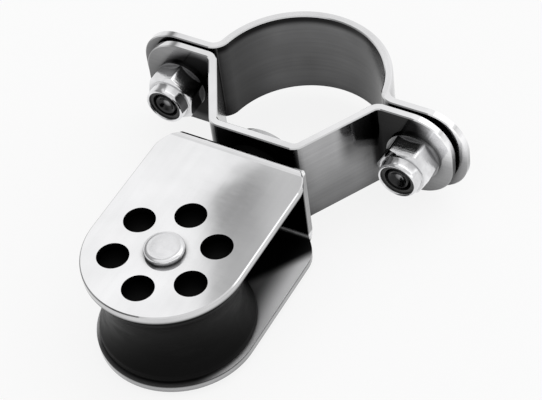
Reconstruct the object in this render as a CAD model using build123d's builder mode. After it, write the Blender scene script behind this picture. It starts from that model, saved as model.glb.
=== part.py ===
from build123d import *
import os
from math import sqrt

os.makedirs("parts", exist_ok=True)

# A lead block on a stanchion clamp. The origin is the middle of the tube that the clamp holds.
# +Z runs up the tube, +X is the right ear, and the block stands out towards -Y.

# ---- strip and clamp (mm) ----
SHEET = 1.2                      # stainless strip of both straps and of the housing
BAND = 14.0                      # height of both straps
TUBE_R = 12.5                    # seat in the rear strap, for a 25 mm tube
EAR_GAP = 0.5                    # daylight between the closed ears
FRONT_EAR_Y = -1.15              # front face of the front ears
FRONT_REACH = 24.4               # ear ends, from the tube's axis
REAR_REACH = 25.8
EAR_CORNER = 6.0                 # rounding of the ear ends
NECK_R = 1.4                     # rear bend between ring and ear
BOLT_X = 18.6
BOLT_HOLE_R = 2.2
LEG_FOOT_X = 13.05               # bends of the hat-shaped front strap, on the strip's middle line
FLAT_HALF = 6.4
FLAT_Y = -12.03
HAT_BEND_R = 1.4
EDGE = 0.15                      # broken edges of the pressings

# ---- M4 fasteners ----
BOLT_R = 2.0
BOLT_LENGTH = 8.0
HEX_ACROSS_FLATS = 7.0
HEAD_HEIGHT = 2.8
HEX_FACE_R = 3.4                 # flat circle that the chamfered corners leave on a hexagon's face
HEX_CHAMFER = 30                 # degrees
TIP_CHAMFER = 0.5
WASHER_R = 4.0
WASHER_BORE_R = 2.15
WASHER_THICK = 0.5
NUT_HEIGHT = 5.0
NUT_HEX_HEIGHT = 3.3
NUT_TURN = {"left": 22, "right": 0}                  # degrees, as each nut came tight
COLLAR_R = 3.0
COLLAR_EDGE = 0.25
LIP_THICK = 0.4                  # rolled over the nylon insert
MOUTH_R = 2.5
INSERT_R = 2.7

# ---- swivel ----
RIVET_R = 2.5
RIVET_HEAD_R = 5.5
RIVET_HEAD_THICK = 2.0
SPACER_R = 5.0
SPACER_THICK = 2.0
SWIVEL_PLAY = 0.1                # on each side of the web
SWIVEL_WASHER_R = 5.0
SWIVEL_WASHER_THICK = 0.8
RIVET_TAIL_R = 3.6
RIVET_TAIL_THICK = 1.2
RIVET_EDGE = 0.5
SWIVEL_WASHER_EDGE = 0.15

# ---- block ----
HOUSING_WIDTH = 15.4             # over both cheeks
BEND_R = 2.4                     # outside radius of the two bends
CHEEK_R = 11.2
WEB_HALF = 9.3
SHOULDER_R = 5.0                 # from the cheek sides round into the web
AXLE_FROM_WEB = 21.1             # axle to the web's back face
AXLE_R = 2.0
AXLE_HEAD_R = 2.75
AXLE_HEAD_THICK = 1.0
AXLE_EDGE = 0.35
HOLE_R = 2.2
HOLE_RING_R = 6.8
HOLE_COUNT = 6
BUSH_R = 3.0
RUNNING = 0.05                   # radial running clearance
SHEAVE_R = 10.7
SHEAVE_GAP = 0.3                 # between sheave and cheek
GROOVE_DEPTH = 1.3
RIM_WIDTH = 0.9
RIM_EDGE = 0.25
HUB_R = 4.4
RECESS_R = 9.0
RECESS_DEPTH = 0.4

# ---- worked out from the above ----
REAR_EAR_Y = FRONT_EAR_Y + SHEET + EAR_GAP           # front face of the rear ears
REAR_EAR_BACK_Y = REAR_EAR_Y + SHEET
FLAT_BACK_Y = FLAT_Y + SHEET / 2
FLAT_FRONT_Y = FLAT_Y - SHEET / 2
WEB_BACK_Y = FLAT_FRONT_Y - SPACER_THICK - SWIVEL_PLAY
WEB_FRONT_Y = WEB_BACK_Y - SHEET
AXLE_Y = WEB_BACK_Y - AXLE_FROM_WEB
CHEEK_INSIDE = HOUSING_WIDTH / 2 - SHEET             # from mid-plane to a cheek's inner face
SHEAVE_HALF = CHEEK_INSIDE - SHEAVE_GAP
NUT_SEAT_Y = FRONT_EAR_Y - WASHER_THICK
INSERT_HEIGHT = NUT_HEIGHT - NUT_HEX_HEIGHT - LIP_THICK

TOWARDS_FRONT = Plane.XZ                             # its normal is -Y, out of the front


def front_plane(y, x=0.0):
    """A plane square to the bolts, facing the front, with its origin at (x, y, 0)."""
    return Plane(origin=(x, y, 0), x_dir=(1, 0, 0), z_dir=(0, -1, 0))


# ---- rear strap: half a ring with two flat ears ----
with BuildPart() as rear_strap:
    with BuildSketch(Plane.XY.offset(-BAND / 2)) as ring:
        Circle(TUBE_R + SHEET)
        Circle(TUBE_R, mode=Mode.SUBTRACT)
        with Locations((0, REAR_EAR_Y)):
            Rectangle(4 * TUBE_R, 2 * TUBE_R, align=(Align.CENTER, Align.MAX), mode=Mode.SUBTRACT)
        ear_length = REAR_REACH - TUBE_R - SHEET / 2
        with Locations((TUBE_R + SHEET / 2, REAR_EAR_Y), (-TUBE_R - SHEET / 2 - ear_length, REAR_EAR_Y)):
            Rectangle(ear_length, SHEET, align=Align.MIN)
        inner_x = sqrt(TUBE_R**2 - REAR_EAR_Y**2)
        outer_x = sqrt((TUBE_R + SHEET) ** 2 - REAR_EAR_BACK_Y**2)
        corners = ring.vertices()
        fillet([corners.sort_by_distance((s * inner_x, REAR_EAR_Y))[0] for s in (-1, 1)], NECK_R + SHEET)
        corners = ring.vertices()
        fillet([corners.sort_by_distance((s * outer_x, REAR_EAR_BACK_Y))[0] for s in (-1, 1)], NECK_R)
    extrude(amount=BAND)
    with BuildSketch(TOWARDS_FRONT):
        RectangleRounded(2 * REAR_REACH, BAND, EAR_CORNER)
    extrude(amount=2 * TUBE_R, both=True, mode=Mode.INTERSECT)
    with BuildSketch(TOWARDS_FRONT):
        with GridLocations(2 * BOLT_X, 1, 2, 1):
            Circle(BOLT_HOLE_R)
    extrude(amount=2 * SHEET + EAR_GAP, both=True, mode=Mode.SUBTRACT)
    chamfer(rear_strap.faces().filter_by(Plane.XY).edges(), EDGE)
rear_strap.part.label = "rear_strap"
export_step(rear_strap.part, "parts/rear_strap.step")

# ---- front strap: hat section, with the flat that carries the swivel ----
with BuildPart() as front_strap:
    with BuildSketch(Plane.XY.offset(-BAND / 2)):
        with BuildLine() as hat:
            ear_mid_y = FRONT_EAR_Y + SHEET / 2
            FilletPolyline(
                (-FRONT_REACH, ear_mid_y),
                (-LEG_FOOT_X, ear_mid_y),
                (-FLAT_HALF, FLAT_Y),
                (FLAT_HALF, FLAT_Y),
                (LEG_FOOT_X, ear_mid_y),
                (FRONT_REACH, ear_mid_y),
                radius=HAT_BEND_R,
            )
        trace(hat.line, SHEET)
    extrude(amount=BAND)
    with BuildSketch(TOWARDS_FRONT):
        RectangleRounded(2 * FRONT_REACH, BAND, EAR_CORNER)
    extrude(amount=2 * TUBE_R, both=True, mode=Mode.INTERSECT)
    with BuildSketch(TOWARDS_FRONT):
        with GridLocations(2 * BOLT_X, 1, 2, 1):
            Circle(BOLT_HOLE_R)
        Circle(RIVET_R)
    extrude(amount=2 * TUBE_R, both=True, mode=Mode.SUBTRACT)
    chamfer(front_strap.faces().filter_by(Plane.XY).edges(), EDGE)
front_strap.part.label = "front_strap"
export_step(front_strap.part, "parts/front_strap.step")

# ---- clamp fasteners, one set on each side ----
for side, x in (("left", -BOLT_X), ("right", BOLT_X)):
    with BuildPart() as bolt:
        with BuildSketch(front_plane(REAR_EAR_BACK_Y + HEAD_HEIGHT, x)):
            RegularPolygon(HEX_ACROSS_FLATS / 2, 6, major_radius=False, rotation=30)
        extrude(amount=HEAD_HEIGHT)
        with BuildSketch(front_plane(REAR_EAR_BACK_Y + HEAD_HEIGHT, x)):
            Circle(HEX_FACE_R)
        extrude(amount=HEAD_HEIGHT, taper=-HEX_CHAMFER, mode=Mode.INTERSECT)
        with BuildSketch(front_plane(REAR_EAR_BACK_Y, x)):
            Circle(BOLT_R)
        extrude(amount=BOLT_LENGTH)
        chamfer(bolt.edges().sort_by(Axis.Y)[0], TIP_CHAMFER)
    bolt.part.label = f"{side}_bolt"
    export_step(bolt.part, f"parts/{side}_bolt.step")

    with BuildPart() as washer:
        with BuildSketch(front_plane(FRONT_EAR_Y, x)):
            Circle(WASHER_R)
            Circle(WASHER_BORE_R, mode=Mode.SUBTRACT)
        extrude(amount=WASHER_THICK)
    washer.part.label = f"{side}_washer"
    export_step(washer.part, f"parts/{side}_washer.step")

    with BuildPart() as nut:
        with BuildSketch(front_plane(NUT_SEAT_Y, x)):
            RegularPolygon(HEX_ACROSS_FLATS / 2, 6, major_radius=False, rotation=NUT_TURN[side])
        extrude(amount=NUT_HEX_HEIGHT)
        with BuildSketch(front_plane(NUT_SEAT_Y - NUT_HEX_HEIGHT, x)):
            Circle(HEX_FACE_R)
        extrude(amount=-NUT_HEX_HEIGHT, taper=-HEX_CHAMFER, mode=Mode.INTERSECT)
        with BuildSketch(front_plane(NUT_SEAT_Y, x)):
            Circle(COLLAR_R)
        extrude(amount=NUT_HEIGHT)
        chamfer(nut.edges().sort_by(Axis.Y)[0], COLLAR_EDGE)
        with BuildSketch(front_plane(NUT_SEAT_Y, x)):
            Circle(BOLT_R)
        extrude(amount=NUT_HEIGHT, mode=Mode.SUBTRACT)
        with BuildSketch(front_plane(NUT_SEAT_Y - NUT_HEX_HEIGHT, x)):
            Circle(INSERT_R)
        extrude(amount=INSERT_HEIGHT, mode=Mode.SUBTRACT)
        with BuildSketch(front_plane(NUT_SEAT_Y - NUT_HEX_HEIGHT, x)):
            Circle(MOUTH_R)
        extrude(amount=NUT_HEIGHT, mode=Mode.SUBTRACT)
    nut.part.label = f"{side}_nut"
    export_step(nut.part, f"parts/{side}_nut.step")

    with BuildPart() as insert:
        with BuildSketch(front_plane(NUT_SEAT_Y - NUT_HEX_HEIGHT, x)):
            Circle(INSERT_R)
            Circle(BOLT_R, mode=Mode.SUBTRACT)
        extrude(amount=INSERT_HEIGHT)
    insert.part.label = f"{side}_nut_insert"
    export_step(insert.part, f"parts/{side}_nut_insert.step")

# ---- swivel: rivet through the front flat, spacer behind the web, washer and closed end in front ----
with BuildPart() as swivel_rivet:
    with BuildSketch(front_plane(FLAT_BACK_Y + RIVET_HEAD_THICK)):
        Circle(RIVET_HEAD_R)
    extrude(amount=RIVET_HEAD_THICK)
    chamfer(swivel_rivet.edges().sort_by(Axis.Y)[-1], RIVET_EDGE)
    tail_seat_y = WEB_FRONT_Y - SWIVEL_PLAY - SWIVEL_WASHER_THICK
    with BuildSketch(front_plane(FLAT_BACK_Y)):
        Circle(RIVET_R)
    extrude(amount=FLAT_BACK_Y - tail_seat_y)
    with BuildSketch(front_plane(tail_seat_y)):
        Circle(RIVET_TAIL_R)
    extrude(amount=RIVET_TAIL_THICK)
    chamfer(swivel_rivet.edges().sort_by(Axis.Y)[0], RIVET_EDGE)
swivel_rivet.part.label = "swivel_rivet"
export_step(swivel_rivet.part, "parts/swivel_rivet.step")

with BuildPart() as swivel_spacer:
    with BuildSketch(front_plane(FLAT_FRONT_Y)):
        Circle(SPACER_R)
        Circle(RIVET_R, mode=Mode.SUBTRACT)
    extrude(amount=SPACER_THICK)
swivel_spacer.part.label = "swivel_spacer"
export_step(swivel_spacer.part, "parts/swivel_spacer.step")

with BuildPart() as swivel_washer:
    with BuildSketch(front_plane(WEB_FRONT_Y - SWIVEL_PLAY)):
        Circle(SWIVEL_WASHER_R)
        Circle(RIVET_R, mode=Mode.SUBTRACT)
    extrude(amount=SWIVEL_WASHER_THICK)
    chamfer(swivel_washer.edges().group_by(Axis.Y)[0].sort_by(SortBy.LENGTH)[-1], SWIVEL_WASHER_EDGE)
swivel_washer.part.label = "swivel_washer"
export_step(swivel_washer.part, "parts/swivel_washer.step")

# ---- block housing: one strip, bent into two cheeks and a narrower web ----
with BuildPart() as block_housing:
    with BuildSketch(Plane.YZ):
        with BuildLine() as bend:
            cheek_end_y = AXLE_Y - CHEEK_R
            web_mid_y = WEB_BACK_Y - SHEET / 2
            cheek_mid_z = (HOUSING_WIDTH - SHEET) / 2
            FilletPolyline(
                (cheek_end_y, cheek_mid_z),
                (web_mid_y, cheek_mid_z),
                (web_mid_y, -cheek_mid_z),
                (cheek_end_y, -cheek_mid_z),
                radius=BEND_R - SHEET / 2,
            )
        trace(bend.line, SHEET)
    extrude(amount=CHEEK_R, both=True)
    with BuildSketch(Plane.XY) as plan:
        round_x = CHEEK_R - SHOULDER_R
        round_rise = sqrt(SHOULDER_R**2 - (WEB_HALF - round_x) ** 2)
        shoulder_y = WEB_FRONT_Y - round_rise + SHOULDER_R
        with Locations((0, AXLE_Y)):
            Circle(CHEEK_R)
            Rectangle(2 * CHEEK_R, shoulder_y - AXLE_Y, align=(Align.CENTER, Align.MIN))
        fillet(plan.vertices().group_by(Axis.Y)[-1], SHOULDER_R)
        with Locations((0, AXLE_Y)):
            Rectangle(2 * WEB_HALF, AXLE_FROM_WEB, align=(Align.CENTER, Align.MIN))
    extrude(amount=HOUSING_WIDTH, both=True, mode=Mode.INTERSECT)
    with BuildSketch(Plane.XY):
        with Locations((0, AXLE_Y)):
            Circle(AXLE_R)
            with PolarLocations(HOLE_RING_R, HOLE_COUNT, start_angle=90):
                Circle(HOLE_R)
    extrude(amount=HOUSING_WIDTH, both=True, mode=Mode.SUBTRACT)
    with BuildSketch(front_plane(WEB_BACK_Y + SHEET)):
        Circle(RIVET_R + RUNNING)
    extrude(amount=3 * SHEET, mode=Mode.SUBTRACT)
    for outside in (Plane.XY.offset(HOUSING_WIDTH / 2), Plane.XY.offset(-HOUSING_WIDTH / 2)):
        cheek = block_housing.faces().filter_by(Plane.XY).sort_by_distance(outside.origin)[0]
        outline = cheek.outer_wire().edges()
        chamfer(outline.filter_by(lambda edge: edge.center().Y < WEB_BACK_Y - BEND_R - EDGE), EDGE)
block_housing.part.label = "block_housing"
export_step(block_housing.part, "parts/block_housing.step")

# ---- axle: rivet closed on both cheeks, over a bush that keeps them apart ----
with BuildPart() as axle_rivet:
    half = HOUSING_WIDTH / 2
    with BuildSketch(Plane.XY.offset(-half)):
        with Locations((0, AXLE_Y)):
            Circle(AXLE_R)
    extrude(amount=HOUSING_WIDTH)
    for z, direction in ((half, 1), (-half, -1)):
        with BuildSketch(Plane.XY.offset(z)):
            with Locations((0, AXLE_Y)):
                Circle(AXLE_HEAD_R)
        extrude(amount=direction * AXLE_HEAD_THICK)
    for end in (0, -1):
        chamfer(axle_rivet.edges().filter_by(GeomType.CIRCLE).sort_by(Axis.Z)[end], AXLE_EDGE)
axle_rivet.part.label = "axle_rivet"
export_step(axle_rivet.part, "parts/axle_rivet.step")

with BuildPart() as axle_bush:
    with BuildSketch(Plane.XY.offset(-CHEEK_INSIDE)):
        with Locations((0, AXLE_Y)):
            Circle(BUSH_R)
            Circle(AXLE_R, mode=Mode.SUBTRACT)
    extrude(amount=2 * CHEEK_INSIDE)
axle_bush.part.label = "axle_bush"
export_step(axle_bush.part, "parts/axle_bush.step")

# ---- sheave: one wide roller, turned about the axle ----
with BuildPart() as sheave:
    axle_plane = Plane(origin=(0, AXLE_Y, 0), x_dir=(1, 0, 0), z_dir=(0, -1, 0))
    with BuildSketch(axle_plane) as section:
        with BuildLine():
            groove_half = SHEAVE_HALF - RIM_WIDTH
            Polyline(
                (SHEAVE_R, -groove_half),
                (SHEAVE_R, -SHEAVE_HALF),
                (RECESS_R, -SHEAVE_HALF),
                (RECESS_R, -SHEAVE_HALF + RECESS_DEPTH),
                (HUB_R, -SHEAVE_HALF + RECESS_DEPTH),
                (HUB_R, -SHEAVE_HALF),
                (BUSH_R + RUNNING, -SHEAVE_HALF),
                (BUSH_R + RUNNING, SHEAVE_HALF),
                (HUB_R, SHEAVE_HALF),
                (HUB_R, SHEAVE_HALF - RECESS_DEPTH),
                (RECESS_R, SHEAVE_HALF - RECESS_DEPTH),
                (RECESS_R, SHEAVE_HALF),
                (SHEAVE_R, SHEAVE_HALF),
                (SHEAVE_R, groove_half),
            )
            ThreePointArc((SHEAVE_R, groove_half), (SHEAVE_R - GROOVE_DEPTH, 0), (SHEAVE_R, -groove_half))
        make_face()
        chamfer(section.vertices().group_by(Axis.X)[-1], RIM_EDGE)
    revolve(axis=Axis((0, AXLE_Y, 0), (0, 0, 1)))
sheave.part.label = "sheave"
export_step(sheave.part, "parts/sheave.step")
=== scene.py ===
"""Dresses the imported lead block: materials, threaded bolts, nuts and rivets, light, floor and camera."""
from math import cos, pi, radians, sin, tan

import bmesh
import bpy
from mathutils import Matrix, Vector


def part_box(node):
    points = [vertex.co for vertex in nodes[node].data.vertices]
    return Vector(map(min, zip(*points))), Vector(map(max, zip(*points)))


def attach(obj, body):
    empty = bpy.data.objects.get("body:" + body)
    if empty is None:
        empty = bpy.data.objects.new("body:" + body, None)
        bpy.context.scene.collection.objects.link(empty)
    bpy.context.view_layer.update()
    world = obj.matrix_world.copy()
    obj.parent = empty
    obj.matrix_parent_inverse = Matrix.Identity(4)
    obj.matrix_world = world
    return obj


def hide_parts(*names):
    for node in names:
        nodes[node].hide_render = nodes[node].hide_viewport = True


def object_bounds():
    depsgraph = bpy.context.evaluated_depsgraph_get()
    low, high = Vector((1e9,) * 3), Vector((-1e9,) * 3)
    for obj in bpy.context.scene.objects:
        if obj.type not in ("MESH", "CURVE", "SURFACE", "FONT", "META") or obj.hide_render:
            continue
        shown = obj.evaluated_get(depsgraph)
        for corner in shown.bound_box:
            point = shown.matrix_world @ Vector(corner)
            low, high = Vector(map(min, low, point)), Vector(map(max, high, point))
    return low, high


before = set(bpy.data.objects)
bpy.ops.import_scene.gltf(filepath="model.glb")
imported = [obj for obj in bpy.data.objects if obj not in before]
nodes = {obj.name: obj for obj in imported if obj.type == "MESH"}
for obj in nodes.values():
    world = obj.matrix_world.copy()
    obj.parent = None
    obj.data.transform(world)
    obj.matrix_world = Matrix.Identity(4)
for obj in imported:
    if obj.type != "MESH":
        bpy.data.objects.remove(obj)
cad_low, cad_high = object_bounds()
scene = bpy.context.scene

MM = 0.001

# ---------------------------------------------------------------- camera
# Above and to the right of the block's nose, close enough for some perspective.
CAMERA_POSITION = Vector((113.22, -173.89, 204.8)) * MM
CAMERA_VIEW = Vector((-0.38842, 0.56154, -0.73062))
CAMERA_UP = Vector((-0.29136, 0.67735, 0.6755))
FOCAL_PIXELS = 2051.9
IMAGE_WIDTH = 542
SENSOR_WIDTH = 36
NEAREST_SEEN = 10 * MM

camera_data = bpy.data.cameras.new("camera")
camera_data.sensor_width = SENSOR_WIDTH
camera_data.lens = SENSOR_WIDTH * FOCAL_PIXELS / IMAGE_WIDTH
camera_data.clip_start = NEAREST_SEEN
camera = bpy.data.objects.new("camera", camera_data)
scene.collection.objects.link(camera)
backward = -CAMERA_VIEW.normalized()
rightward = CAMERA_UP.cross(backward).normalized()
upward = backward.cross(rightward)
axes = Matrix((rightward, upward, backward)).transposed().to_4x4()
camera.matrix_world = Matrix.Translation(CAMERA_POSITION) @ axes
scene.camera = camera


# ---------------------------------------------------------------- node helpers
def change(start, end, before=0.0, after=1.0):
    """A change over a stretch, from the level before it to the level after it."""
    return start, end, before, after


def change_mm(start, end, before=0.0, after=1.0):
    """A change over a stretch that is given in mm."""
    return change(start * MM, end * MM, before, after)


class Graph:
    """A short way to build a node tree. A value is a socket of the tree or a plain number."""

    def __init__(self, tree):
        self.tree = tree
        tree.nodes.clear()

    def add(self, kind, inputs=None, **settings):
        """Makes a node with these settings, sets its plain inputs and links the others."""
        node = self.tree.nodes.new(kind)
        for name, value in settings.items():
            setattr(node, name, value)
        for key, value in (inputs or {}).items():
            if isinstance(value, bpy.types.NodeSocket):
                self.tree.links.new(value, node.inputs[key])
            else:
                node.inputs[key].default_value = value
        return node

    def math(self, operation, *values, clamp=False):
        inputs = dict(enumerate(values))
        return self.add("ShaderNodeMath", inputs, operation=operation, use_clamp=clamp).outputs[0]

    def times(self, first, *others):
        """The product of all the values."""
        for other in others:
            first = self.math("MULTIPLY", first, other)
        return first

    def plus(self, first, *others):
        """The sum of all the values."""
        for other in others:
            first = self.math("ADD", first, other)
        return first

    def magnitude(self, value):
        """The value without its sign."""
        return self.math("ABSOLUTE", value)

    def one_minus(self, value):
        return self.math("SUBTRACT", 1.0, value)

    def between(self, factor, first, second):
        """The first value where the factor is 0, the second where it is 1."""
        return self.plus(self.times(self.one_minus(factor), first), self.times(factor, second))

    def span(self, value, stretch, kind="LINEAR"):
        """The levels of a change, at each value."""
        inputs = dict(enumerate((value, *stretch)))
        return self.add("ShaderNodeMapRange", inputs, interpolation_type=kind).outputs[0]

    def soft(self, value, stretch):
        """The same, for a change that starts and ends gently."""
        return self.span(value, stretch, kind="SMOOTHSTEP")

    def spread(self, noise, low, high):
        """A noise, most of which is from 0.3 to 0.7, spread from the low level to the high one."""
        return self.span(noise, change(0.3, 0.7, low, high))

    def parts(self, vector):
        """The X, Y and Z of a vector."""
        return self.add("ShaderNodeSeparateXYZ", {0: vector}).outputs

    def mix(self, factor, first, second):
        """A colour between two others."""
        return self.add("ShaderNodeMix", {0: factor, 6: first, 7: second}, data_type="RGBA").outputs[2]

    def steel_colour(self, level, blue):
        """A grey of this level, with its blue stronger by a factor."""
        inputs = {0: level, 1: level, 2: self.times(level, blue)}
        return self.add("ShaderNodeCombineColor", inputs).outputs[0]

    def openness(self, distance):
        """1 in the open, and less in a corner or crevice that something closes within the distance."""
        return self.add("ShaderNodeAmbientOcclusion", {"Distance": distance}, samples=8).outputs["AO"]

    def noise(self, vector, scale, detail=3.0, stretch=(1, 1, 1), roughness=0.5):
        mapped = self.add("ShaderNodeMapping", {"Vector": vector, "Scale": stretch}).outputs[0]
        inputs = {"Vector": mapped, "Scale": scale, "Detail": detail, "Roughness": roughness}
        return self.add("ShaderNodeTexNoise", inputs).outputs[0]


def grey(level):
    return (level, level, level, 1.0)


def new_material(name):
    material = bpy.data.materials.new(name)
    material.use_nodes = True
    return material, Graph(material.node_tree)


def finish_material(g, colour, roughness, bump, metallic, bump_distance, **plain):
    """Ends a material: one Principled shader with the given colour, roughness and bump height."""
    height = g.add("ShaderNodeBump", {"Height": bump, "Strength": 1.0, "Distance": bump_distance})
    inputs = {"Base Color": colour, "Roughness": roughness, "Normal": height.outputs[0], "Metallic": metallic}
    inputs.update(plain)
    shader = g.add("ShaderNodeBsdfPrincipled", inputs)
    g.add("ShaderNodeOutputMaterial", {"Surface": shader.outputs[0]})


# ---------------------------------------------------------------- steel strip
# How the strips' tone changes from place to place, in shares of their full tone: most of these changes are
# painted light and shade.
# The axis along which each change lies ends its name, and R is the distance from the tube's axis.
SEAT_SKIN_R = change_mm(13.2, 13.5, 1.0, 0.0)            # the inner face of the ring, painted darker as shade
REAR_STRAP_Y = change_mm(-0.3, 0.3)                      # from the front strap to the rear one
FRONT_EARS_Y = change_mm(-2.4, -1.8)                     # from the front strap's legs to its ears
SEAT_TOP_Z = change_mm(5.2, 6.3, 0.38, 0.04)             # a dark line painted under the seat's upper edge, painted shade
SEAT_Z = change_mm(-7.0, 5.0, 0.7, 1.1)                  # and painted lighter upwards below that line, painted light
SEAT_ENDS_X = change_mm(8.0, 12.5, 1.0, 0.45)            # painted darker both ways from the middle, painted shade
# painted shade: the seat darker towards its right
SEAT_RIGHT_X = change_mm(0.0, 10.5, 1.06, 0.6)
SEAT_ROUGHNESS = 0.1
OUTSIDE_X = change_mm(-20.0, 22.0, 0.72, 1.5)            # all other faces of the straps, painted lighter to the right, painted light
# painted light: the same faces lighter upwards
OUTSIDE_Z = change_mm(-7.0, 7.0, 0.48, 1.15)
LEG_TOP_X = change_mm(9.8, 11.0)                         # the upper corner of each leg of the front strap, painted darker as shade
LEG_TOP_Z = change_mm(-2.0, 3.0)
LEG_SHARE, LEG_TOP_SHARE = 0.85, 0.25
LEFT_TO_RIGHT_X = change_mm(-1.0, 1.0)
FOLD_X = 15.5 * MM                                       # middle of the dark patch painted between fold and nut, painted shade
LEFT_FOLD_Z, RIGHT_FOLD_Z = 0.4 * MM, 2.0 * MM
FROM_FOLD = change_mm(5.3, 7.0, 0.045, 1.0)              # outwards from its middle
EAR_HIGHLIGHT_X = change_mm(19.0, 21.5)                      # a painted highlight on the end of the right ears
EAR_HIGHLIGHT_Z = change_mm(-1.0, 4.0)
EAR_HIGHLIGHT = 1.6

CHEEK_SKIN_Z = change_mm(6.6, 6.9, 1.0, 0.0)             # inside the housing
WEB_SKIN_Y = change_mm(-15.80, -15.65, 0.88, 0.0)        # the web's front face, painted dark as shade
UPPER_CHEEK_Z = change_mm(6.4, 6.7, 0.95, 1.75)          # the upper cheek's edge, painted lighter as a highlight
LOWER_CHEEK_Z = change_mm(-6.7, -6.4, 1.0, 0.0)
LOWER_EDGE_Y = change_mm(-20.0, -17.0, 1.55, 0.95)       # the lower cheek's edge, painted lighter as a highlight
BEND_Z = change_mm(5.4, 5.8)                             # the inner bends between the web and the cheeks, with a painted highlight
BEND_Y = change_mm(-17.2, -16.8)
BEND_HIGHLIGHT, BEND_RELIEF = 2.2, 0.7
# painted shade on the cheeks' inner faces: black in the corners by the web, darker beside the sheave
OUTWARDS = (0.824, -0.567)                               # X and Y of the way out of the corners by the web
CORNER = change_mm(18.4, 20.2)                           # along that way
CORNER_SHARE, OPEN_SHARE = 0.02, 1.1
CHEEK_SIDE_X = change_mm(7.0, 10.8)                      # from beside the sheave, painted darker as shade, to the cheek's side
MIDDLE_SHARE, MIDDLE_RELIEF, SIDE_RELIEF = 0.16, 0.4, 0.95
RIM_X = change_mm(-1.0, 4.0, 7.5, 0.0)                   # the cheeks' broken edges are painted dark on the left, as painted shade
SATIN_ROUGHNESS = 0.45

FACING = change(0.35, 0.8)                               # from upright faces to flat ones
FLAT_CLOUD = change(0.3, 0.75, 1.0, 0.9)
SCUFFS = change(0.35, 0.75)
# painted shade: darker in corners and crevices, by how closed in each place is within this reach
CORNER_REACH = 5.0 * MM
DARK_CORNER = change(0.35, 0.88, 0.05, 1.0)
LIFTED_CORNER = change(0.3, 0.95, 0.12, 1.0)


def strap_look(g, x, y, z, flat):
    """How the straps' look changes with the place, mostly as painted light and shade: the share of the full
    tone on upright and on flat faces, the roughness added, and the relief, which lifts the painted shade in
    dark corners and makes the steel satin."""
    beside = g.magnitude(x)
    rear = g.span(y, REAR_STRAP_Y)
    radius = g.math("SQRT", g.plus(g.times(x, x), g.times(y, y)))
    # painted shade on the ring's inner face: darker overall, a dark line under its upper edge, darker towards
    # its ends and its right
    inside = g.times(g.span(radius, SEAT_SKIN_R), rear)
    seat = g.times(g.soft(z, SEAT_TOP_Z), g.span(z, SEAT_Z))
    seat = g.times(seat, g.soft(beside, SEAT_ENDS_X), g.soft(x, SEAT_RIGHT_X))

    # painted shade: a dark patch on the front ears between the fold and the nut, fading outwards
    fold_height = g.between(g.span(x, LEFT_TO_RIGHT_X), LEFT_FOLD_Z, RIGHT_FOLD_Z)
    from_fold = {0: g.math("SUBTRACT", beside, FOLD_X), 2: g.math("SUBTRACT", z, fold_height)}
    from_fold = g.add("ShaderNodeCombineXYZ", from_fold).outputs[0]
    around = g.add("ShaderNodeVectorMath", {0: from_fold}, operation="LENGTH").outputs["Value"]
    # painted shade: the upper corner of each leg darker
    leg_top = g.times(g.soft(beside, LEG_TOP_X), g.soft(z, LEG_TOP_Z))
    leg_share = g.between(leg_top, LEG_SHARE, LEG_TOP_SHARE)
    front_share = g.between(g.span(y, FRONT_EARS_Y), leg_share, g.soft(around, FROM_FOLD))

    # painted light: the straps' other faces lighter to the right and upwards
    outside = g.times(g.soft(x, OUTSIDE_X), g.span(z, OUTSIDE_Z))
    outside = g.times(outside, g.between(rear, front_share, 1.0))
    # a painted highlight on the ends of the right ears
    ear_highlight = g.times(g.soft(x, EAR_HIGHLIGHT_X), g.soft(z, EAR_HIGHLIGHT_Z))
    outside = g.plus(outside, g.times(ear_highlight, EAR_HIGHLIGHT))
    return g.between(inside, outside, seat), 1.0, g.times(inside, SEAT_ROUGHNESS), 0.0


def housing_look(g, x, y, z, flat):
    """The same for the housing: painted highlights on the cheeks' edges and in the inner bends, satin inside
    the cheeks, and painted shade on the web's front and inside the cheeks, black in the corners by the web."""
    beside = g.magnitude(x)
    height = g.magnitude(z)
    inner = g.span(height, CHEEK_SKIN_Z)
    # painted shade: the web's front face nearly black
    web_front = g.times(inner, g.span(y, WEB_SKIN_Y))
    # painted highlights on the cheeks' edges
    lower_edge = g.times(g.soft(y, LOWER_EDGE_Y), g.span(z, LOWER_CHEEK_Z))
    edge = g.math("MAXIMUM", g.span(z, UPPER_CHEEK_Z), lower_edge)
    edge = g.math("SUBTRACT", edge, web_front)
    # a painted highlight along the inner bends, where the painted corner shade is also lifted
    crease = g.times(inner, g.span(height, BEND_Z), g.span(y, BEND_Y), g.one_minus(flat))
    edge = g.plus(edge, g.times(crease, BEND_HIGHLIGHT))

    satin = g.times(inner, flat)
    side = g.soft(beside, CHEEK_SIDE_X)
    # painted shade: black in the corners by the web and darker beside the sheave
    outwards = g.plus(g.times(beside, OUTWARDS[0]), g.times(y, OUTWARDS[1]))
    opening = g.soft(outwards, CORNER)
    inner_share = g.times(g.between(opening, CORNER_SHARE, OPEN_SHARE), g.between(side, MIDDLE_SHARE, 1.0))
    relief = g.times(satin, g.between(side, MIDDLE_RELIEF, SIDE_RELIEF), opening)
    relief = g.math("MAXIMUM", relief, g.times(crease, BEND_RELIEF))

    # painted shade: the cheeks' broken edges darker on the left
    slope = g.times(flat, g.one_minus(flat))
    rim = g.math("MULTIPLY", slope, g.span(x, RIM_X), clamp=True)
    flat_share = g.times(g.between(inner, 1.0, inner_share), g.one_minus(rim))
    return edge, flat_share, g.times(satin, SATIN_ROUGHNESS), relief


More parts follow.
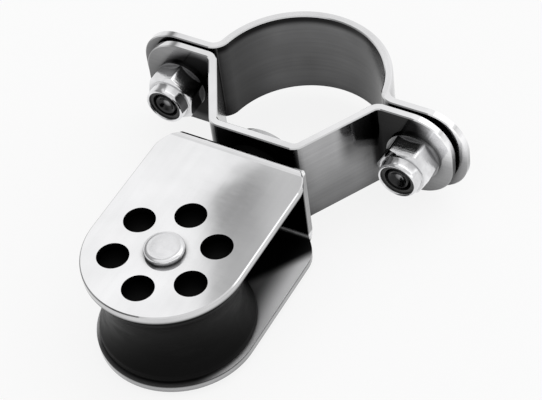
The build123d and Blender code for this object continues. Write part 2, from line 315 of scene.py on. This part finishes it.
def pressed_steel(name, bright, upright_shade_tone, look):
    """Strip steel: bright where it faces up or down; its upright faces are painted greyer, as painted shade,
    with a brushed grain.
    """
    material, g = new_material(name)
    place = g.add("ShaderNodeTexCoord")
    here = place.outputs["Object"]
    flat = g.soft(g.magnitude(g.parts(place.outputs["Normal"])[2]), FACING)
    x, y, z = g.parts(here)
    upright_share, flat_share, added_roughness, relief = look(g, x, y, z, flat)

    grain = g.noise(here, 900.0, detail=4.0, stretch=(0.05, 0.05, 3.0))
    polish = g.noise(here, 420.0, stretch=(2.2, 0.12, 1.0))
    cloud = g.noise(here, 130.0, detail=2.0)
    scuff = g.noise(here, 2400.0, detail=2.0, stretch=(0.2, 1.0, 1.0), roughness=0.7)

    # painted shade: upright faces get a darker tone than flat ones, standing in for their darker reflections
    upright = g.times(upright_share, g.spread(cloud, 0.86, 1.1), g.spread(grain, 0.93, 1.07), upright_shade_tone)
    level = g.times(g.span(cloud, FLAT_CLOUD), bright, g.spread(polish, 0.985, 1.015), flat_share)
    level = g.between(flat, upright, level)
    # painted shade in corners, which the relief lifts
    corner = g.openness(CORNER_REACH)
    level = g.times(level, g.between(relief, g.soft(corner, DARK_CORNER), g.span(corner, LIFTED_CORNER)))

    scuffed = g.times(g.span(scuff, SCUFFS), g.between(flat, 0.05, 0.012))
    roughness = g.plus(g.between(flat, 0.11, 0.048), scuffed, added_roughness)
    waves = g.plus(g.times(grain, 0.5), g.times(polish, 0.06), g.times(cloud, 1.6))
    finish_material(g, g.steel_colour(level, 1.01), roughness, waves, g.one_minus(relief), 0.004 * MM)
    return material


# ---------------------------------------------------------------- fasteners and plastics
TURNING_STRETCH = {"y": (0.3, 4.0, 0.3), "z": (0.3, 0.3, 4.0)}       # for the axis of the turning
# painted shade in fasteners' crevices, within this reach
CREVICE_REACH = 4.5 * MM
MOUTH_SHADE_TONE = 0.07
MOUTH_SHADE_EDGE = 0.2 * MM
BOLT_MOUTH_SHADE_Y = -5.5 * MM             # the bolts are painted dark before this, as shade in the nuts' mouths
RUBBED_Z = change_mm(0.0, 5.0, 1.0, 0.0)     # of the sheave's groove, both ways from its middle
RUB_PATCHES = change(0.45, 0.75)


def turned_steel(name, levels, roughnesses, axis, crevice_shade=0.3, shade_before=None):
    """Fastener steel: turning marks round the axis, painted shade in crevices, and painted dark before a
    place on Y, as shade.
    """
    material, g = new_material(name)
    here = g.add("ShaderNodeTexCoord").outputs["Object"]
    turning = g.noise(here, 1500.0, stretch=TURNING_STRETCH[axis])
    cloud = g.noise(here, 500.0)
    # painted shade in crevices
    crevice = g.soft(g.openness(CREVICE_REACH), change(0.3, 0.95, crevice_shade, 1.0))
    level = g.times(g.spread(cloud, *levels), crevice)
    # painted shade: the bolt's tip, in the nut's mouth, darkened
    if shade_before is not None:
        mouth_shade = change(shade_before - MOUTH_SHADE_EDGE, shade_before + MOUTH_SHADE_EDGE, MOUTH_SHADE_TONE, 1.0)
        level = g.times(level, g.span(g.parts(here)[1], mouth_shade))
    bump = g.plus(turning, g.times(cloud, 0.6))
    finish_material(g, g.steel_colour(level, 1.015), g.spread(turning, *roughnesses), bump, 1.0, 0.01 * MM)
    return material


def black_acetal(name):
    """Turned black plastic: fine tool rings across the groove, duller where a line has rubbed it."""
    material, g = new_material(name)
    here = g.add("ShaderNodeTexCoord").outputs["Object"]
    rings = g.noise(here, 2200.0, detail=2.0, stretch=(0.02, 0.02, 3.0))
    rub = g.noise(here, 260.0, detail=5.0, stretch=(1, 1, 2.5), roughness=0.65)
    groove = g.soft(g.magnitude(g.parts(here)[2]), RUBBED_Z)
    worn = g.math("MULTIPLY", g.span(rub, RUB_PATCHES), groove, clamp=True)
    colour = g.mix(worn, grey(0.003), grey(0.008))
    roughness = g.plus(g.spread(rub, 0.34, 0.44), g.times(worn, 0.12))
    bump = g.plus(rings, g.times(rub, 0.8))
    finish_material(g, colour, roughness, bump, 0.0, 0.015 * MM, **{"Specular IOR Level": 0.05})
    return material


def nylon(name):
    """Moulded nylon with a faint mottle."""
    material, g = new_material(name)
    here = g.add("ShaderNodeTexCoord").outputs["Object"]
    mottle = g.noise(here, 1800.0, detail=4.0)
    colour = g.mix(mottle, grey(0.006), grey(0.016))
    finish_material(g, colour, g.spread(mottle, 0.4, 0.55), mottle, 0.0, 0.01 * MM, **{"IOR": 1.53})
    return material


strap_steel = pressed_steel("strap_steel", 0.86, 0.30, strap_look)
housing_steel = pressed_steel("housing_steel", 0.88, 0.34, housing_look)
nut_steel = turned_steel("nut_steel", (0.70, 0.90), (0.09, 0.17), "y", crevice_shade=0.08)
bolt_steel = turned_steel("bolt_steel", (0.42, 0.62), (0.16, 0.28), "y", shade_before=BOLT_MOUTH_SHADE_Y)
washer_steel = turned_steel("washer_steel", (0.40, 0.60), (0.14, 0.26), "y")
swivel_steel = turned_steel("swivel_steel", (0.50, 0.68), (0.14, 0.24), "y")
axle_steel = turned_steel("axle_steel", (0.80, 0.90), (0.14, 0.24), "z", crevice_shade=0.04)
roller_plastic = black_acetal("roller_plastic")
insert_plastic = nylon("insert_plastic")

MATERIAL_OF = {
    "rear_strap": strap_steel,
    "front_strap": strap_steel,
    "block_housing": housing_steel,
    "left_washer": washer_steel,
    "right_washer": washer_steel,
    "swivel_washer": washer_steel,
    "axle_bush": washer_steel,
    "swivel_spacer": roller_plastic,
    "sheave": roller_plastic,
    "left_nut_insert": insert_plastic,
    "right_nut_insert": insert_plastic,
}
for name, material in MATERIAL_OF.items():
    for slot in nodes[name].material_slots:
        slot.material = material


# ---------------------------------------------------------------- turned pieces
SHARP_ANGLE = radians(35)            # an edge that turns by more is drawn sharp
POLE = 0.05                          # radius of the small ring that a solid's end closes on, mm
EVEN_STEPS = tuple(range(0, 60, 4))  # degrees, round one sixth of a turn


def sixths(steps, turn=0.0):
    """The angles of one ring of points: the same steps in each sixth of a turn."""
    return [radians(turn + 60 * k + step) for k in range(6) for step in steps]


def turned_piece(name, node, body, finish, axis, rows, angles, hollow=False):
    """A piece turned about Y or Z in the place of a CAD node. Each row gives, for an angle, how far along
    the axis and how far out its point lies. A hollow piece's last row joins its first, others are capped."""
    low, high = (Vector(corner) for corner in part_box(node))
    middle = (low + high) / 2
    mesh = bmesh.new()
    rings = []
    for row in rows:
        ring = []
        for angle in angles:
            along, out = row(angle)
            if axis == "y":
                point = (middle.x + out * cos(angle), along, middle.z + out * sin(angle))
            else:
                point = (middle.x + out * cos(angle), middle.y + out * sin(angle), along)
            ring.append(mesh.verts.new(point))
        rings.append(ring)
    pairs = list(zip(rings, rings[1:]))
    if hollow:
        pairs.append((rings[-1], rings[0]))
    else:
        mesh.faces.new(rings[0])
        mesh.faces.new(rings[-1])
    for first, second in pairs:
        for step in range(len(angles)):
            after = (step + 1) % len(angles)
            mesh.faces.new((first[step], first[after], second[after], second[step]))
    bmesh.ops.recalc_face_normals(mesh, faces=mesh.faces)
    data = bpy.data.meshes.new(name)
    mesh.to_mesh(data)
    mesh.free()
    data.materials.append(finish)
    for polygon in data.polygons:
        polygon.use_smooth = True
    data.set_sharp_from_angle(angle=SHARP_ANGLE)
    piece = bpy.data.objects.new(name, data)
    scene.collection.objects.link(piece)
    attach(piece, body)
    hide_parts(node)


def at(along, out):
    """A plain row: the same all the way round."""
    return lambda angle: (along, out)


def rows_up(profile, start):
    """Plain rows for a profile of radii and distances in mm, the distances going up the axis from a start."""
    return [at(start + distance * MM, out * MM) for out, distance in profile]


def rows_down(profile, start):
    """The same, the distances going down the axis."""
    return [at(start - distance * MM, out * MM) for out, distance in profile]


# ---------------------------------------------------------------- hexagons of the bolts and nuts
APOTHEM = 3.5 * MM
HEX_FACE_R = 3.35 * MM               # flat circle that the chamfer leaves on a hexagon's face
HEX_CHAMFER = tan(radians(30))
HEX_CORNER = 0.985                   # of the full radius is left at the corners
CORNER_STEPS = (0, 2.5, 7, 13, 20, 30, 40, 47, 53, 57.5)      # degrees from a corner, round one sixth


def hexagon(turn):
    """A hexagon's radius at an angle, with a corner at the turn and its corners taken off a little."""
    def radius(angle):
        from_corner = (angle - radians(turn)) % (pi / 3)
        full = APOTHEM / cos(from_corner - pi / 6)
        return min(full, APOTHEM / cos(pi / 6) * HEX_CORNER)
    return radius


def hexagon_row(y, radius):
    """A hexagon's full outline at y."""
    return lambda angle: (y, radius(angle))


def chamfer_row(y, radius, inwards):
    """Where a hexagon's sides meet the chamfer of its face at y. The hexagon lies inwards of it, +1 or -1."""
    return lambda angle: (y + inwards * max(0.0, radius(angle) - HEX_FACE_R) * HEX_CHAMFER, radius(angle))


# ---------------------------------------------------------------- bolts
# M4, each with its hexagon head behind the rear ear, a rolled thread and a cupped tip.
HEAD_TURN = 30                       # degrees
HEAD_HEIGHT = 2.8 * MM
PITCH = 0.7 * MM
ROWS_PER_PITCH = 8
THREAD_R = 2.0 * MM
THREAD_DEPTH = 0.36 * MM
THREAD_ROOT = 0.1                    # share of half a tooth that is flat at its root
THREAD_FLANK = 0.75                  # share that slopes
TIP_FLAT_R = 1.5 * MM
TIP_SLOPE = 0.9                      # radius gained along the tip's chamfer, per length
CUP = ((POLE, 0.8), (0.5, 0.68), (0.9, 0.42), (1.15, 0.18), (1.3, 0.05))       # radius and depth, mm


def thread_row(y, tip):
    """One row of a thread that begins at the tip, where a chamfer takes its crests off."""
    def row(angle):
        phase = ((y - tip) / PITCH + angle / (2 * pi)) % 1.0
        tooth = 1.0 - abs(2 * phase - 1.0)
        shape = min(1.0, max(0.0, (tooth - THREAD_ROOT) / THREAD_FLANK))
        out = THREAD_R - THREAD_DEPTH * (1.0 - shape)
        return y, min(out, TIP_FLAT_R + (y - tip) * TIP_SLOPE)
    return row


for side in ("left", "right"):
    low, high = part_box(side + "_bolt")
    tip, top = low[1], high[1]
    seat = top - HEAD_HEIGHT
    head = hexagon(HEAD_TURN)
    count = round((seat - tip) / (PITCH / ROWS_PER_PITCH))
    rows = rows_up(CUP, tip)
    rows += [thread_row(tip + (seat - tip) * k / count, tip) for k in range(count + 1)]
    rows += [hexagon_row(seat, head), chamfer_row(top, head, -1), at(top, HEX_FACE_R), at(top, POLE * MM)]
    turned_piece(side + "_threaded_bolt", side + "_bolt", "clamp", bolt_steel, "y",
                 rows, sixths(CORNER_STEPS, HEAD_TURN))

# ---------------------------------------------------------------- locking nuts
# Each has a chamfered hexagon and a round collar, whose lip is rolled over the insert.
NUT_TURN = {"left": 22, "right": 0}  # degrees, as each nut came tight
NUT_HEX_HEIGHT = 3.3 * MM
NUT_BORE_R = 2.02 * MM               # just clear of the thread's crests
COLLAR = (                           # radius and distance out from the hexagon, mm
    (3.4, 0.0), (3.22, 0.0), (3.08, 0.05), (3.0, 0.2), (2.98, 1.25), (2.94, 1.48), (2.86, 1.62), (2.75, 1.7),
    (2.65, 1.68), (2.56, 1.6), (2.5, 1.45), (2.5, 1.3), (2.7, 1.3), (2.7, 0.0),
)

for side, turn in NUT_TURN.items():
    _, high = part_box(side + "_nut")
    seat = high[1]
    face = seat - NUT_HEX_HEIGHT
    sides = hexagon(turn)
    rows = [at(seat, NUT_BORE_R), hexagon_row(seat, sides), chamfer_row(face, sides, 1)]
    rows += rows_down(COLLAR, face)
    rows += [at(face, NUT_BORE_R)]
    turned_piece(side + "_lock_nut", side + "_nut", "clamp", nut_steel, "y",
                 rows, sixths(CORNER_STEPS, turn), hollow=True)

# ---------------------------------------------------------------- rivets
# The swivel rivet has a wide flat head with a rounded edge in the clamp, and is closed in the housing.
SWIVEL_R = 2.5 * MM                  # shank; the profiles are radius and depth from each end, mm
SWIVEL_HEAD = ((POLE, 0.0), (4.3, 0.0), (4.9, 0.02), (5.22, 0.08), (5.42, 0.22), (5.5, 0.45), (5.5, 2.0))
SWIVEL_TAIL = ((3.6, 1.2), (3.6, 0.75), (3.48, 0.42), (3.2, 0.18), (2.8, 0.04), (2.4, 0.0), (POLE, 0.0))

low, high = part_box("swivel_rivet")
rows = rows_down(SWIVEL_HEAD, high[1])
rows += [at(high[1] - SWIVEL_HEAD[-1][1] * MM, SWIVEL_R), at(low[1] + SWIVEL_TAIL[0][1] * MM, SWIVEL_R)]
rows += rows_up(SWIVEL_TAIL, low[1])
turned_piece("round_swivel_rivet", "swivel_rivet", "clamp", swivel_steel, "y",
             rows, sixths(EVEN_STEPS))

# The axle rivet is closed at both ends into round heads, faintly dished and undercut.
AXLE_R = 2.0 * MM                    # shank
AXLE_HEAD = (
    (POLE, 0.03), (1.2, 0.03), (1.7, 0.02), (2.1, 0.0), (2.4, 0.02), (2.6, 0.09), (2.71, 0.2), (2.75, 0.34),
    (2.64, 1.0),
)

low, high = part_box("axle_rivet")
rows = rows_up(AXLE_HEAD, low[2])
rows += [at(low[2] + AXLE_HEAD[-1][1] * MM, AXLE_R), at(high[2] - AXLE_HEAD[-1][1] * MM, AXLE_R)]
rows += rows_down(reversed(AXLE_HEAD), high[2])
turned_piece("closed_axle_rivet", "axle_rivet", "block", axle_steel, "z",
             rows, sixths(EVEN_STEPS))

# ---------------------------------------------------------------- light
scene.view_settings.view_transform = "Standard"

# The studio that the metal mirrors, by the parts of a direction: right is +X, behind +Y and the rise +Z.
HORIZON_RISE = change(0.22, 0.5, 0.9, 0.28)              # pale near the floor and darker above
ZENITH_RISE = change(0.86, 0.95, 0.0, 0.45)              # a soft light straight above
PANEL_BEHIND = change(0.30, 0.44)                        # edges of a soft panel behind the object
PANEL_RIGHT = change(-0.62, -0.50)
PANEL_RISE = change(0.30, 0.42)
PANEL_LIGHT_RISE = change(0.64, 0.72, 0.52, 0.75)

# A grey card before the panel, which the upper cheek mirrors by its right shoulder.
CARD_SIDE = (0.874, 0.475, 0.0995)                       # the way in from its left edge
CARD_SLOPE = (0.760, -0.253, 0.599)                      # the way in from its slanting edge
CARD_LEFT_EDGE = change(-0.037, -0.024)
CARD_SLANTING_EDGE = change(-0.0225, -0.0160)
CARD_RISE = change(0.712, 0.720)
CARD_SHADE = change(-0.014, 0.006, 0.95, 0.6)            # from its left edge to the rest
CARD_SHADE_RISE = change(0.730, 0.745, 1.0, 0.8)
CARD_END = change(0.05, 0.13, 1.0, 0.0)                  # soft end on the right

KEY_STRENGTH = 1.05
KEY_ANGLE = radians(110)             # very wide, so that shadows are soft and no face mirrors a bright sun
KEY_FROM = Vector((0.45, -0.15, 0.88))


def studio_world():
    """A pale surround with a soft light above, a soft panel behind and the card before it."""
    world = bpy.data.worlds.new("studio")
    world.use_nodes = True
    g = Graph(world.node_tree)
    direction = g.add("ShaderNodeTexCoord").outputs["Generated"]
    right, behind, rise = g.parts(direction)

    def along(vector):
        dot = g.add("ShaderNodeVectorMath", {0: direction, 1: vector}, operation="DOT_PRODUCT")
        return dot.outputs["Value"]

    across = along(CARD_SIDE)
    card = g.times(g.soft(across, CARD_LEFT_EDGE), g.soft(along(CARD_SLOPE), CARD_SLANTING_EDGE))
    card = g.times(card, g.soft(rise, CARD_RISE), g.soft(across, CARD_SHADE))
    card = g.times(card, g.span(rise, CARD_SHADE_RISE), g.soft(across, CARD_END))
    panel = g.times(g.soft(behind, PANEL_BEHIND), g.soft(right, PANEL_RIGHT), g.soft(rise, PANEL_RISE))
    panel = g.times(panel, g.span(rise, PANEL_LIGHT_RISE), g.one_minus(card))
    surround = g.plus(g.soft(rise, HORIZON_RISE), panel)
    strength = g.math("MAXIMUM", surround, g.soft(rise, ZENITH_RISE))
    background = g.add("ShaderNodeBackground", {"Color": grey(1.0), "Strength": strength})
    g.add("ShaderNodeOutputWorld", {"Surface": background.outputs[0]})
    return world


scene.world = studio_world()
key = bpy.data.lights.new("key", "SUN")
key.energy = KEY_STRENGTH
key.angle = KEY_ANGLE
key_lamp = bpy.data.objects.new("key", key)
key_lamp.rotation_euler = KEY_FROM.to_track_quat("Z", "Y").to_euler()
scene.collection.objects.link(key_lamp)

# ---------------------------------------------------------------- floor
FLOOR_REACH = 3.0                    # m, each way
SHADOW_LIFT = 0.84                   # how far towards plain white the floor is seen, its shadows with it


def floor_paper():
    """White paper, which the camera and mirrors see lifted towards plain white, its shadows with it."""
    material, g = new_material("floor_paper")
    here = g.add("ShaderNodeTexCoord").outputs["Object"]
    colour = g.mix(g.noise(here, 900.0), grey(0.96), grey(0.98))
    matt = {"Base Color": colour, "Roughness": 0.9, "Specular IOR Level": 0.2}
    lit = g.add("ShaderNodeBsdfPrincipled", matt)
    white = g.add("ShaderNodeEmission", {"Color": grey(1.0), "Strength": 1.0})
    rays = g.add("ShaderNodeLightPath").outputs
    mirrored = g.math("MAXIMUM", rays["Is Glossy Ray"], rays["Is Transmission Ray"])
    seen = g.math("MAXIMUM", rays["Is Camera Ray"], mirrored)
    lifted = {0: g.times(seen, SHADOW_LIFT), 1: lit.outputs[0], 2: white.outputs[0]}
    shader = g.add("ShaderNodeMixShader", lifted)
    g.add("ShaderNodeOutputMaterial", {"Surface": shader.outputs[0]})
    return material


corners = [(x * FLOOR_REACH, y * FLOOR_REACH, cad_low[2]) for x, y in ((-1, -1), (1, -1), (1, 1), (-1, 1))]
floor_mesh = bpy.data.meshes.new("floor")
floor_mesh.from_pydata(corners, [], [(0, 1, 2, 3)])
floor_mesh.materials.append(floor_paper())
ground = bpy.data.objects.new("floor", floor_mesh)
scene.collection.objects.link(ground)
